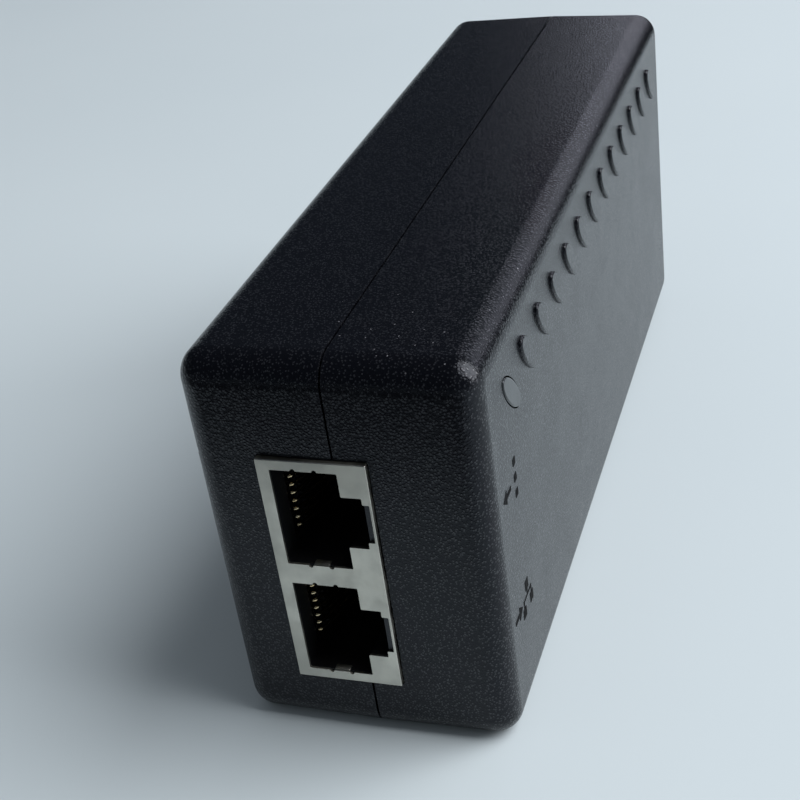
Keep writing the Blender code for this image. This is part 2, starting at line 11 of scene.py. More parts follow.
import bpy
import numpy as np
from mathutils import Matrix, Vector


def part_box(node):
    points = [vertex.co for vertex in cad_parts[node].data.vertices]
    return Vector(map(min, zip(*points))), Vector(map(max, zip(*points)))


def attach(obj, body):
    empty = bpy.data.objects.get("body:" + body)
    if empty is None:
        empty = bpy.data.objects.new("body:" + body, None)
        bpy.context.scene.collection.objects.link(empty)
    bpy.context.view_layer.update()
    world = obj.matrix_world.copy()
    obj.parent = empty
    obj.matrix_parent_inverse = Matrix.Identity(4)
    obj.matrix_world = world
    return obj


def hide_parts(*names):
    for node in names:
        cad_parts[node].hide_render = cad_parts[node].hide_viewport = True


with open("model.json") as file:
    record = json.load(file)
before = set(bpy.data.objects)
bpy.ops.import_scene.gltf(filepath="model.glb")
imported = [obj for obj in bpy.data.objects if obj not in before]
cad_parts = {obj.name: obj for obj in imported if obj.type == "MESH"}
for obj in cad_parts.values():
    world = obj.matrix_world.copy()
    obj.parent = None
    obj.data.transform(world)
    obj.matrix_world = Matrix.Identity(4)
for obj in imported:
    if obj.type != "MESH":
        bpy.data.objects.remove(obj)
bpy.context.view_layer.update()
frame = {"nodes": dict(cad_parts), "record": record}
MM = 0.001
GAP = 0.3 * MM

# %% [markdown]
# ## Places taken from the CAD pieces
# Every new surface starts from a corner of a CAD piece, so a skin can't drift away from the
# solid that it stands for. The draft of one degree and the corner radii are those of the mould.

# %% Read the places
base_low, base_high = (np.array(corner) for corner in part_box("base_shell"))
cover_low, cover_high = (np.array(corner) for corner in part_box("cover_shell"))
plate_low, plate_high = (np.array(corner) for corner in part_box("jack_shield"))
lens_low, lens_high = (np.array(corner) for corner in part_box("light_guide"))
FRONT, BACK = base_low[1], base_high[1]
HEIGHT = base_high[2]
OVAL_RISE = 0.4 * MM
COVER_FACE = cover_high[0] - OVAL_RISE
BASE_FACE = -base_low[0]
print("case length and height in mm:", (BACK - FRONT) / MM, HEIGHT / MM)

# %% [markdown]
# ## Camera
# The object is seen from its front right, from above, with the cover side turned away at a
# sharp angle. A long lens close to the object gives the strong lines that run to the back. The
# camera also leans over by a few degrees, so its three turns are given as they are.

# %% Camera
lens = bpy.data.cameras.new("camera")
lens.lens = 65.09
lens.sensor_width = 36.0
lens.clip_start = 0.01
camera = bpy.data.objects.new("camera", lens)
camera.location = (0.05093, -0.16042, 0.11201)
camera.rotation_euler = np.radians((58.96, 7.38, 17.40))
bpy.context.scene.collection.objects.link(camera)
bpy.context.scene.camera = camera

# %% [markdown]
# ## Working surfaces out with numpy
# Nearly every piece here is a row of outlines: a profile carried along a straight or bent path.
# A piece is an array of rows, each row is a ring of points, and neighbouring rows are joined by
# four-sided faces. The two ends are closed by one flat face each. Blender's own primitives could
# start the same shapes, but rows of points keep each rounding exact and easy to read.


# %% From rows of points to a mesh
def triple(a, b, c):
    """Six times the volume of the wedge between the origin and each triangle: a . (b x c)."""
    return float(np.sum(a * np.cross(b, c)))


def enclosed(rows, closed_rows=False):
    """Six times the volume inside the rows: the sum of the wedges of all faces. It is negative
    where the faces look inwards."""
    low = rows if closed_rows else rows[:-1]
    high = np.roll(rows, -1, axis=0) if closed_rows else rows[1:]
    low_next, high_next = np.roll(low, -1, axis=1), np.roll(high, -1, axis=1)
    total = triple(low, low_next, high_next) + triple(low, high_next, high)
    if not closed_rows:
        first, last = rows[0], rows[-1]
        total += triple(np.broadcast_to(first[:1], first[2:].shape), first[2:], first[1:-1])
        total += triple(np.broadcast_to(last[:1], last[2:].shape), last[1:-1], last[2:])
    return total


def row_faces(count, around, start, closed_rows):
    """The quads between rows: point i of row r, point i + 1 of row r, and the same two of row
    r + 1. The last point of a row is followed by its first."""
    row = np.arange(count if closed_rows else count - 1)[:, None]
    point = np.arange(around)[None, :]
    beside = (point + 1) % around
    above = (row + 1) % count
    corners = (row * around + point, row * around + beside, above * around + beside, above * around + point)
    return start + np.stack(corners, axis=-1).reshape(-1, 4)


def make_mesh(name, parts, closed_rows=False):
    """An object whose mesh holds all the parts, each with its faces turned outwards."""
    points, faces, start = [], [], 0
    for rows in parts:
        rows = np.asarray(rows, float)
        if enclosed(rows, closed_rows) < 0:
            rows = rows[::-1]
        count, around = rows.shape[:2]
        faces += row_faces(count, around, start, closed_rows).tolist()
        if not closed_rows:
            faces.append(list(range(start, start + around))[::-1])
            faces.append(list(range(start + (count - 1) * around, start + count * around)))
        points.append(rows.reshape(-1, 3))
        start += count * around
    mesh = bpy.data.meshes.new(name)
    mesh.from_pydata(np.concatenate(points), [], faces)
    piece = bpy.data.objects.new(name, mesh)
    bpy.context.scene.collection.objects.link(piece)
    return piece


def stand(flat, along, axis):
    """Rows of flat points, each row moved to its own distance along an axis."""
    rows = np.empty(flat.shape[:2] + (3,))
    rows[..., [i for i in range(3) if i != axis]] = flat
    rows[..., axis] = np.asarray(along)[:, None]
    return rows


# %% [markdown]
# ## Outlines
# Moulded and folded things have no true corners. A rounded rectangle is four quarter circles
# joined by straight sides, and a rounding of an edge moves the outline in by r (1 - sin t) while
# it goes on by r (1 - cos t). Any other outline gets its corners rounded by a short curve.


# %% Rounded outlines
def rounded_rows(low, high, radius, steps):
    """Rows of points round rectangles. Each corner is its centre plus radius (cos t, sin t), with
    t over a quarter turn. low and high are one (a, b) per row, and radius one number per row."""
    quarter = np.linspace(0.0, np.pi / 2, steps + 1)
    turn = np.concatenate([quarter + corner * np.pi / 2 for corner in range(4)])
    far_a = np.repeat([True, False, False, True], steps + 1)
    far_b = np.repeat([True, True, False, False], steps + 1)
    radius = np.asarray(radius)[:, None]
    a = np.where(far_a, high[:, :1] - radius, low[:, :1] + radius) + radius * np.cos(turn)
    b = np.where(far_b, high[:, 1:] - radius, low[:, 1:] + radius) + radius * np.sin(turn)
    return np.stack([a, b], axis=-1)


def edge_rounding(radius, steps):
    """How far a rounded edge has gone on and how far it still lies inside, from flat to upright."""
    turn = np.linspace(0.0, np.pi / 2, steps + 1)
    return radius * (1 - np.cos(turn)), radius * (1 - np.sin(turn))


def both_ends(start, end, radius, steps=4):
    """Distances and insets of rows that round an edge at both ends of a solid."""
    rise, inset = edge_rounding(radius, steps)
    return np.concatenate([start + rise, end - rise[::-1]]), np.concatenate([inset, inset[::-1]])


def soft_box(low, high, radius, axis=0, steps=4, corner=None):
    """Rows of a box whose edges are quarter circles, built up along one axis."""
    low, high = np.array(low, float), np.array(high, float)
    flat = [i for i in range(3) if i != axis]
    along, inset = both_ends(low[axis], high[axis], radius, steps)
    corners = np.maximum((corner or radius) - inset, 0.02 * radius)
    inset = inset[:, None]
    return stand(rounded_rows(low[flat] + inset, high[flat] - inset, corners, steps), along, axis)


def circle(sides):
    """Points of a unit circle: (cos t, sin t)."""
    turn = np.arange(sides) * 2 * np.pi / sides
    return np.stack([np.cos(turn), np.sin(turn)], axis=-1)


def soft_drum(centre, radius, height, edge, axis=0, sides=48):
    """Rows of a round solid that starts at its centre of base, with rounded rims."""
    centre = np.array(centre, float)
    flat = [i for i in range(3) if i != axis]
    along, inset = both_ends(centre[axis], centre[axis] + height, edge)
    rings = centre[flat] + (radius - inset)[:, None, None] * circle(sides)
    return stand(rings, along, axis)


def eased(outline, radius, steps=3):
    """An outline with each corner p replaced by the curve (1 - t)^2 a + 2 t (1 - t) p + t^2 b,
    where a and b lie on the two sides, a radius away from p."""
    corner = np.array(outline, float)
    back, ahead = np.roll(corner, 1, axis=0) - corner, np.roll(corner, -1, axis=0) - corner
    a = corner + back * (radius / np.linalg.norm(back, axis=1))[:, None]
    b = corner + ahead * (radius / np.linalg.norm(ahead, axis=1))[:, None]
    t = np.linspace(0.0, 1.0, steps + 1)[None, :, None]
    curve = (1 - t) ** 2 * a[:, None] + 2 * t * (1 - t) * corner[:, None] + t**2 * b[:, None]
    return curve.reshape(-1, 2)


def prism(outline, start, end, axis):
    """Rows of a solid with one flat outline, from start to end along an axis."""
    outline = np.asarray(outline, float)
    return stand(np.stack([outline, outline]), [start, end], axis)


def tube(path, radii, across, sides=12):
    """Rows of circles along a path. Each circle stands square to the path: its first axis is
    tangent x across, and its second is that axis x tangent."""
    path = np.asarray(path, float)
    tangent = np.gradient(path, axis=0)
    tangent /= np.linalg.norm(tangent, axis=1)[:, None]
    first = np.cross(tangent, np.broadcast_to(across, tangent.shape))
    first /= np.linalg.norm(first, axis=1)[:, None]
    second = np.cross(first, tangent)
    ring = circle(sides)
    radii = np.asarray(radii)[:, None, None]
    return path[:, None] + radii * (ring[None, :, :1] * first[:, None] + ring[None, :, 1:] * second[:, None])


# %% [markdown]
# ## Cutting, joining and settling a piece
# Windows in a wall are cut with Blender's exact boolean, worked out at once so that only the
# finished mesh stays. Then a narrow bevel softens each sharp edge, and weighted normals keep the
# big flats flat beside it. Each piece rides on a CAD body, and the CAD pieces that it replaces
# are hidden.


# %% Cut, join and settle
def combined(piece, tool, operation="DIFFERENCE"):
    """The piece with a tool cut out of it or joined on to it. The tool is used up."""
    change = piece.modifiers.new("combine", "BOOLEAN")
    change.operation = operation
    change.solver = "EXACT"
    change.object = tool
    graph = bpy.context.evaluated_depsgraph_get()
    mesh = bpy.data.meshes.new_from_object(piece.evaluated_get(graph))
    piece.modifiers.clear()
    mesh.name = piece.name
    piece.data = mesh
    bpy.data.objects.remove(tool)
    return piece


def settle(piece, finish, slot, *replaced, body="case", bevel=0.0, sharp=40.0, segments=2):
    """Gives a piece its finish, its soft edges and its body, and hides the CAD pieces it replaces."""
    piece.data.materials.clear()
    piece.data.materials.append(finish)
    piece.data.shade_smooth()
    if bevel:
        edges = piece.modifiers.new("soft edges", "BEVEL")
        edges.width = bevel
        edges.segments = segments
        edges.limit_method = "ANGLE"
        edges.angle_limit = np.radians(sharp)
    else:
        piece.data.set_sharp_from_angle(angle=np.radians(sharp))
    normals = piece.modifiers.new("flat faces stay flat", "WEIGHTED_NORMAL")
    normals.keep_sharp = True
    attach(piece, body)
    if replaced:
        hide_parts(*replaced)
    print(f"{piece.name}: {len(piece.data.polygons)} faces before its modifiers")
    return piece


# %% [markdown]
# ## Building materials from nodes
# A finish is more than one colour: plastic has a spark-eroded grain, metal a rolled one, and both
# carry smudges, dust and worn edges. Effects that several finishes share are node groups with
# named sockets, built once. They give masks and heights only, and the shader stays outside.


# %% Node helpers
def add(tree, kind, inputs=None, **settings):
    """A new node with its settings, and each named input either linked or set."""
    made = tree.nodes.new(kind)
    for name, value in settings.items():
        setattr(made, name, value)
    for name, value in (inputs or {}).items():
        if isinstance(value, bpy.types.NodeSocket):
            tree.links.new(value, made.inputs[name])
        else:
            made.inputs[name].default_value = value
    return made


def maths(tree, operation, *values, clamp=False):
    """One sum on numbers or sockets, as its output socket."""
    made = add(tree, "ShaderNodeMath", dict(enumerate(values)), operation=operation, use_clamp=clamp)
    return made.outputs[0]


def ranged(tree, value, low, high, to_low=0.0, to_high=1.0):
    """A value carried smoothly from one range to another."""
    inputs = {"Value": value, "From Min": low, "From Max": high, "To Min": to_low, "To Max": to_high}
    return add(tree, "ShaderNodeMapRange", inputs, interpolation_type="SMOOTHSTEP").outputs["Result"]


def blended(tree, factor, first, second):
    """A colour between two colours or colour sockets."""
    made = add(tree, "ShaderNodeMix", {0: factor}, data_type="RGBA")
    for index, value in ((6, first), (7, second)):
        if isinstance(value, bpy.types.NodeSocket):
            tree.links.new(value, made.inputs[index])
        else:
            made.inputs[index].default_value = (*value, 1.0)
    return made.outputs[2]


def object_point(tree):
    """The place of the shaded point on the object, in metres."""
    return add(tree, "ShaderNodeTexCoord").outputs["Object"]


def cells_of(tree, scale):
    """Voronoi cells, so many to a metre."""
    return add(tree, "ShaderNodeTexVoronoi", {"Vector": object_point(tree), "Scale": scale})


def noise(tree, scale, detail=2.0, vector=None):
    """Noise of so many features per metre."""
    inputs = {"Vector": vector or object_point(tree), "Scale": scale, "Detail": detail}
    return add(tree, "ShaderNodeTexNoise", inputs).outputs["Fac"]


def new_group(name, inputs, outputs):
    """An empty node group with named number sockets. Gives the tree, what comes in, what goes out."""
    tree = bpy.data.node_groups.new(name, "ShaderNodeTree")
    for socket, value in inputs.items():
        made = tree.interface.new_socket(socket, in_out="INPUT", socket_type="NodeSocketFloat")
        made.default_value = value
    for socket in outputs:
        tree.interface.new_socket(socket, in_out="OUTPUT", socket_type="NodeSocketFloat")
    return tree, tree.nodes.new("NodeGroupInput").outputs, tree.nodes.new("NodeGroupOutput").inputs


# %% [markdown]
# ### Spark grain
# The mould of a plastic case is spark-eroded, which leaves a fine, even, pebbled skin. A bitmap
# of leather grain would repeat. Cells about 0.3 mm wide with finer noise on them do not, and
# they give the height. The group also marks the tops of the pebbles, which a finish can paint a
# little paler as a painted glint of light on the grain, and make shinier with a coat. A slow
# layer of noise gives the faint change of tone over a hand's width.

# %% Group: spark grain
grain_group, given, result = new_group("spark grain", {"Scale": 3200.0}, ("Height", "Peaks", "Tone"))
cells = cells_of(grain_group, given["Scale"])
pebbles = ranged(grain_group, cells.outputs["Distance"], 0.75, 0.1)
fine = noise(grain_group, maths(grain_group, "MULTIPLY", given["Scale"], 1.7), 2.0)
height = maths(grain_group, "ADD", pebbles, maths(grain_group, "MULTIPLY", fine, 0.7))
peaks = ranged(grain_group, height, 0.95, 1.3)
grain_group.links.new(peaks, result["Peaks"])
tone = noise(grain_group, maths(grain_group, "MULTIPLY", given["Scale"], 0.015), 3.0)
grain_group.links.new(height, result["Height"])
grain_group.links.new(tone, result["Tone"])

# %% [markdown]
# ### Edge wear
# Hands and desks polish the edges of a case first. A painted mask would need an unwrapped mesh.
# The Bevel node looks round each point instead: where the rounded normal leaves the real one,
# the point is near an edge. Noise breaks the band up, because wear is never even.

# %% Group: edge wear
wear_group, given, result = new_group("edge wear", {"Radius": 0.0006, "Patch scale": 700.0}, ("Mask",))
rounded = add(wear_group, "ShaderNodeBevel", {"Radius": given["Radius"]}, samples=4).outputs["Normal"]
surface = add(wear_group, "ShaderNodeNewGeometry").outputs["Normal"]
same = add(wear_group, "ShaderNodeVectorMath", {0: rounded, 1: surface}, operation="DOT_PRODUCT")
edge = ranged(wear_group, same.outputs["Value"], 0.995, 0.86)
patches = ranged(wear_group, noise(wear_group, given["Patch scale"], 4.0), 0.42, 0.7)
wear_group.links.new(maths(wear_group, "MULTIPLY", edge, patches), result["Mask"])

# %% [markdown]
# ### Dust specks
# Dust lies on faces that look up, as single pale specks, thicker in some places and thickest on
# the cover's half near the jack. Each cell of a Voronoi pattern holds one possible speck near
# its middle. A speck shows where the distance to the middle is small, where the cell's own
# random number is below the share for that place and where the face looks up.

# %% Group: dust specks
dust_group, given, result = new_group("dust specks", {"Scale": 1900.0, "Share": 0.1}, ("Mask",))
cells = cells_of(dust_group, given["Scale"])
lot = add(dust_group, "ShaderNodeSeparateColor", {0: cells.outputs["Color"]})
size = ranged(dust_group, lot.outputs["Green"], 0.0, 1.0, 0.06, 0.17)
dot = maths(dust_group, "LESS_THAN", cells.outputs["Distance"], size)
drift = ranged(dust_group, noise(dust_group, 60.0, 2.0), 0.35, 0.65)
place = add(dust_group, "ShaderNodeSeparateXYZ", {0: object_point(dust_group)}).outputs
nearer = ranged(dust_group, place["Y"], -0.01, -0.045, 0.04, 1.0)
nearer = maths(dust_group, "MULTIPLY", nearer, ranged(dust_group, place["X"], -0.004, 0.006, 0.15, 1.0))
share = maths(dust_group, "MULTIPLY", given["Share"], maths(dust_group, "MULTIPLY", drift, nearer))
chosen = maths(dust_group, "LESS_THAN", lot.outputs["Red"], share)
facing = add(dust_group, "ShaderNodeNewGeometry").outputs["Normal"]
up = add(dust_group, "ShaderNodeSeparateXYZ", {0: facing})
upward = ranged(dust_group, up.outputs["Z"], 0.5, 0.9)
mask = maths(dust_group, "MULTIPLY", maths(dust_group, "MULTIPLY", dot, chosen), upward)
dust_group.links.new(mask, result["Mask"])

# %% [markdown]
# ### Smudges
# Fingers leave soft patches that change the gloss and not the colour. Slow noise, bent by a
# second noise so that it has no even spacing, gives a value that the roughness follows.

# %% Group: smudges
smudge_group, given, result = new_group("smudges", {"Scale": 60.0}, ("Value",))
place = object_point(smudge_group)
bend = add(smudge_group, "ShaderNodeTexNoise", {"Vector": place, "Scale": given["Scale"]})
shifted = add(
    smudge_group,
    "ShaderNodeVectorMath",
    {0: bend.outputs["Color"], 1: (0.012, 0.012, 0.012), 2: object_point(smudge_group)},
    operation="MULTIPLY_ADD",
)
finer = maths(smudge_group, "MULTIPLY", given["Scale"], 2.5)
streaks = noise(smudge_group, finer, 5.0, shifted.outputs["Vector"])
smudge_group.links.new(ranged(smudge_group, streaks, 0.3, 0.7), result["Value"])

# %% [markdown]
# ### Rolled metal
# Tinned sheet and drawn wire come through rollers and dies, which leave faint lines one way and
# cloudy patches where the tin flowed. Noise stretched thirty times along one direction gives the
# lines, and plain slow noise gives the clouds.

# %% Group: rolled metal
rolled_group, given, result = new_group("rolled metal", {"Scale": 2600.0}, ("Height", "Cloud"))
inputs = {"Vector": object_point(rolled_group), "Scale": (1.0, 1.0, 0.03)}
stretched = add(rolled_group, "ShaderNodeMapping", inputs)
lines = noise(rolled_group, given["Scale"], 3.0, stretched.outputs["Vector"])
cloud = noise(rolled_group, maths(rolled_group, "MULTIPLY", given["Scale"], 0.12), 4.0)
rolled_group.links.new(lines, result["Height"])
rolled_group.links.new(ranged(rolled_group, cloud, 0.3, 0.7), result["Cloud"])

# %% [markdown]
# ## The finishes
# Two makers cover most of the object. One is for moulded plastic and painted things: grain,
# smudges, worn edges and dust over a body colour. The other is for metal: rolled lines, clouds
# and smudges. Each finish calls one of them with its own colours and scales, so that the black
# of the case, of the jack and of the inlet differ as the real resins do.


# %% Makers of finishes
def blank_finish(name):
    """A new material: its tree and its Principled shader."""
    material = bpy.data.materials.new(name)
    material.use_nodes = True
    tree = material.node_tree
    return material, tree, tree.nodes["Principled BSDF"]


def use(tree, group, **inputs):
    """One of the shared groups placed in a material, with spaces in socket names as underscores."""
    placed = tree.nodes.new("ShaderNodeGroup")
    placed.node_tree = group
    for name, value in inputs.items():
        placed.inputs[name.replace("_", " ")].default_value = value
    return placed.outputs


def bumped(tree, shader, height, strength, distance):
    bump = add(tree, "ShaderNodeBump", {"Height": height, "Strength": strength, "Distance": distance})
    tree.links.new(bump.outputs["Normal"], shader.inputs["Normal"])


def moulded(name, dark, light, wear_and_glint, gloss, grain=3200.0, depth=0.012, dust=0.0, level=0.5, glint_and_coat=0.0):
    """Moulded plastic. dark and light are the body colours, the colour after them is that of rubbed
    edges and also of the painted glint on the pebbles' tops, and gloss the lowest and highest
    roughness. grain is the pebbles to a metre, depth their depth in millimetres, dust the share of
    specks, level the sheen, and the last number, when it isn't zero, paints that glint on the
    pebbles' tops and is the weight of a gloss coat on them."""
    material, tree, shader = blank_finish(name)
    skin = use(tree, grain_group, Scale=grain)
    rubbed = use(tree, wear_group, Radius=0.0005)["Mask"]
    touched = use(tree, smudge_group)["Value"]
    colour = blended(tree, skin["Tone"], dark, light)
    # Painted glint: the tops of the pebbles take the paler colour, standing in for light sparkling on the
    # grain. The coat on them is real gloss.
    if glint_and_coat:
        colour = blended(tree, skin["Peaks"], colour, wear_and_glint)
        tree.links.new(maths(tree, "MULTIPLY", skin["Peaks"], glint_and_coat), shader.inputs["Coat Weight"])
        shader.inputs["Coat Roughness"].default_value = 0.2
    colour = blended(tree, maths(tree, "MULTIPLY", rubbed, 0.5), colour, wear_and_glint)
    roughness = ranged(tree, touched, 0.0, 1.0, *gloss)
    if dust:
        specks = use(tree, dust_group, Share=dust)["Mask"]
        colour = blended(tree, specks, colour, (0.14, 0.14, 0.15))
        roughness = maths(tree, "ADD", roughness, maths(tree, "MULTIPLY", specks, 0.4), clamp=True)
    tree.links.new(colour, shader.inputs["Base Color"])
    tree.links.new(roughness, shader.inputs["Roughness"])
    shader.inputs["Specular IOR Level"].default_value = level
    shader.inputs["Specular Tint"].default_value = (0.86, 0.91, 1.0, 1.0)
    bumped(tree, shader, skin["Height"], 0.9, depth * MM)
    return material


def metal(name, dark, light, gloss, lines=2600.0, depth=0.004):
    """Bare metal. dark and light are its colours, gloss the lowest and highest roughness."""
    material, tree, shader = blank_finish(name)
    rolled = use(tree, rolled_group, Scale=lines)
    touched = use(tree, smudge_group, Scale=110.0)["Value"]
    tree.links.new(blended(tree, rolled["Cloud"], dark, light), shader.inputs["Base Color"])
    tree.links.new(ranged(tree, touched, 0.0, 1.0, *gloss), shader.inputs["Roughness"])
    shader.inputs["Metallic"].default_value = 1.0
    bumped(tree, shader, rolled["Height"], 0.5, depth * MM)
    return material


# %% [markdown]
# The case is black with a trace of blue and a low sheen. The jack's moulding is a deeper black,
# the printed ink is flat, and the window over the indicator is a smoky clear plastic.

# %% Finishes of the outside
# The case's pebble tops are painted a paler black as a painted glint of light on its grain, and carry a
# gloss coat.
case_black = moulded(
    "case black", (0.0018, 0.0021, 0.0034), (0.0028, 0.0031, 0.0048), (0.016, 0.017, 0.02), (0.23, 0.26),
    grain=3400.0, depth=0.022, dust=0.16, level=0.27, glint_and_coat=0.6,
)
jack_black = moulded(
    "jack black", (0.004, 0.004, 0.0045), (0.007, 0.007, 0.0075), (0.02, 0.02, 0.02), (0.35, 0.5),
    grain=5000.0,
)
inlet_black = moulded(
    "inlet black", (0.006, 0.006, 0.0065), (0.01, 0.01, 0.0105), (0.03, 0.03, 0.03), (0.22, 0.38),
    grain=4200.0, depth=0.006,
)
ink_black = moulded(
    "ink black", (0.003, 0.003, 0.0035), (0.006, 0.006, 0.006), (0.01, 0.01, 0.01), (0.7, 0.9),
    level=0.1,
)
tin_plate = metal("tin plate", (0.48, 0.47, 0.42), (0.6, 0.585, 0.52), (0.34, 0.48))
spring_gold = metal(
    "spring gold", (0.78, 0.6, 0.33), (0.88, 0.74, 0.48), (0.1, 0.18), lines=5200.0, depth=0.002
)
pin_nickel = metal("pin nickel", (0.56, 0.56, 0.54), (0.68, 0.67, 0.65), (0.16, 0.3))
clear_grey = moulded(
    "clear grey", (0.012, 0.014, 0.015), (0.022, 0.025, 0.027), (0.05, 0.05, 0.05), (0.14, 0.22),
    grain=900.0, depth=0.003, level=0.33,
)

# %% [markdown]
# ## The two halves of the case
# The real halves are injection moulded: walls 2 mm thick, sides that lean in by one degree so
# that the part leaves the mould, a big soft edge round each flat face, and a lip on the base that
# fits a step in the cover. A box with a bevel would miss the lean and the lip, so each half is
# a stack of rounded outlines: from the flat face round the soft edge, down the wall to the seam,
# over the rim's steps, and back inside to the floor.

# %% Outlines of the case
CORNER_RADIUS = 3.2 * MM
EDGE_RADIUS = 2.85 * MM
DRAFT = np.tan(np.radians(1.0))
WALL = 2.0 * MM
LIP_RISE = 1.2 * MM
LIP_WIDTH = 0.85 * MM
SEAM_ROUND = 0.004 * MM
SEAM_GAP = 0.24 * MM
INNER_ROUND = 1.0 * MM
PLATE_GAP = 0.14 * MM


def case_rows(side, distance, inset):
    """Outlines at distances from the seam, moved in by the insets. Three sides lean in by the
    distance times the draft, and the long side that the case stands on stays upright."""
    lean = DRAFT * np.abs(distance)
    low = np.stack([FRONT + lean + inset, inset], axis=-1)
    high = np.stack([BACK - lean - inset, HEIGHT - lean - inset], axis=-1)
    corners = np.maximum(CORNER_RADIUS - inset, 0.35 * MM)
    return stand(rounded_rows(low, high, corners, 16), side * distance, 0)


def half_case(name, side, depth, rim):
    """One half: soft outer edge, wall, seam edge, the rim's steps and the rounded inside."""
    fall, inset = edge_rounding(EDGE_RADIUS, 16)
    seam_rise, seam_inset = edge_rounding(SEAM_ROUND, 4)
    inner_fall, inner_inset = edge_rounding(INNER_ROUND, 6)
    steps = np.array(rim)
    distance = np.concatenate([
        depth - fall, SEAM_GAP / 2 + seam_rise[::-1], steps[:, 0], (depth - WALL - inner_fall)[::-1],
    ])
    insets = np.concatenate([inset, seam_inset[::-1], steps[:, 1], (WALL + inner_inset)[::-1]])
    return make_mesh(name, [case_rows(side, distance, insets)])


def end_window(low, high, corner):
    """A tool for a window in an end wall: a box with rounded corners that stands along Y."""
    return make_mesh("window tool", [soft_box(low, high, 0.2 * MM, axis=1, corner=corner)])


def with_windows(shell):
    """A half with the jack's window cut in its front wall and the inlet's in its back wall."""
    low = (plate_low[0] - PLATE_GAP, FRONT - WALL, plate_low[2] - PLATE_GAP)
    high = (plate_high[0] + PLATE_GAP, FRONT + 2 * WALL, plate_high[2] + PLATE_GAP)
    combined(shell, end_window(low, high, 0.35 * MM))
    inlet_low, inlet_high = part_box("inlet_housing")
    low = (inlet_low.x - GAP, BACK - 2 * WALL, inlet_low.z + 1.2 * MM - GAP)
    high = (inlet_high.x + GAP, BACK + WALL, inlet_high.z - 1.2 * MM + GAP)
    return combined(shell, end_window(low, high, 1.0 * MM))


# %% [markdown]
# The base carries two hollow posts for the board's screws. They are welded to its floor, and
# their holes are cut afterwards.

# %% Base half
board_low, board_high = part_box("circuit_board")
screw_boxes = [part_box(f"board_screw_{place}") for place in ("front", "rear")]
screw_centres = [(low + high) / 2 for low, high in screw_boxes]
lip_inset = WALL - LIP_WIDTH
base_rim = [(SEAM_GAP / 2, lip_inset), (-LIP_RISE, lip_inset), (-LIP_RISE, WALL)]
base = half_case("base_skin", -1, BASE_FACE, base_rim)
post_foot = WALL / 2 - BASE_FACE
post_height = board_low.x - GAP - post_foot
posts = [soft_drum((post_foot, c.y, c.z), 3.0 * MM, post_height, 0.2 * MM) for c in screw_centres]
combined(base, make_mesh("post tools", posts), "UNION")
floor_x = WALL - BASE_FACE
holes = [
    soft_drum((floor_x, c.y, c.z), 1.4 * MM, 3 * WALL, 0.1 * MM, sides=24) for c in screw_centres
]
combined(base, make_mesh("hole tools", holes))
settle(with_windows(base), case_black, "case_plastic", "base_shell", bevel=0.1 * MM, sharp=55.0)

# %% [markdown]
# The cover has a row of twelve raised ovals near its long upper edge, which lean by 45 degrees
# and line up with the indicator's window. Each is a low dome: upright sides, then a rounding
# into a flat top. They are moulded with the cover, so they are joined to it as one skin.

# %% Cover half
OVAL_LONG, OVAL_SHORT, OVAL_LEAN = 3.95 * MM, 1.39 * MM, np.radians(-45.0)
OVAL_PITCH = 7.14 * MM
OVAL_COUNT = 12
OVAL_Z = 38.3 * MM
LENS_Y = (lens_low[1] + lens_high[1]) / 2
LENS_Z = (lens_low[2] + lens_high[2]) / 2
LEAN_TURN = np.array([
    [np.cos(OVAL_LEAN), np.sin(OVAL_LEAN)], [-np.sin(OVAL_LEAN), np.cos(OVAL_LEAN)],
])


def oval_rows(centre_y, centre_z, along, inset, sides=48):
    """Rings (long cos t, short sin t), each moved in by its inset, turned by the lean and stood
    along X."""
    half = np.stack([OVAL_LONG - inset, OVAL_SHORT - inset], axis=-1)
    flat = circle(sides)[None] * half[:, None]
    return stand(flat @ LEAN_TURN + (centre_y, centre_z), along, 0)


rise, inset = edge_rounding(0.3 * MM, 6)
dome_along = np.concatenate([[COVER_FACE - WALL / 2], (COVER_FACE + OVAL_RISE - rise)[::-1]])
dome_inset = np.concatenate([[0.0], inset[::-1]])
numbers = range(1, OVAL_COUNT + 1)
domes = [oval_rows(LENS_Y + OVAL_PITCH * k, OVAL_Z, dome_along, dome_inset) for k in numbers]
rebate = WALL - LIP_WIDTH - GAP
cover_rim = [(SEAM_GAP / 2, rebate), (LIP_RISE + GAP, rebate), (LIP_RISE + GAP, WALL)]
cover = half_case("cover_skin", 1, COVER_FACE, cover_rim)
combined(cover, make_mesh("oval tools", domes), "UNION")
through = np.array([COVER_FACE - 2 * WALL, COVER_FACE + WALL])
combined(cover, make_mesh("lens tool", [oval_rows(LENS_Y, LENS_Z, through, np.zeros(2))]))
settle(with_windows(cover), case_black, "case_plastic", "cover_shell", bevel=0.1 * MM, sharp=55.0)

# %% [markdown]
# ## The indicator's window
# One clear moulding carries the light from the board to the cover. Its foot is a round stem, and
# its head fills the oval hole with a fine gap all round. The rows go from a circle to the oval,
# and the head's edge is rounded, so that it catches a thin line of light.

# %% Light guide
STEM_RADIUS = 1.3 * MM
HEAD_GAP = 0.13 * MM
stem_flat = STEM_RADIUS * (circle(48) @ LEAN_TURN) + (LENS_Y, LENS_Z)
stem_x = [lens_low[0], COVER_FACE - WALL - 2.5 * MM]
rise, inset = edge_rounding(0.2 * MM, 6)
head_x = np.concatenate([[COVER_FACE - WALL - 1.0 * MM], (lens_high[0] - rise)[::-1]])
head = oval_rows(LENS_Y, LENS_Z, head_x, np.concatenate([[0.0], inset[::-1]]) + HEAD_GAP)
guide_rows = np.concatenate([stand(np.stack([stem_flat, stem_flat]), stem_x, 0), head])
settle(make_mesh("indicator_window", [guide_rows]), clear_grey, "light_guide", "light_guide")

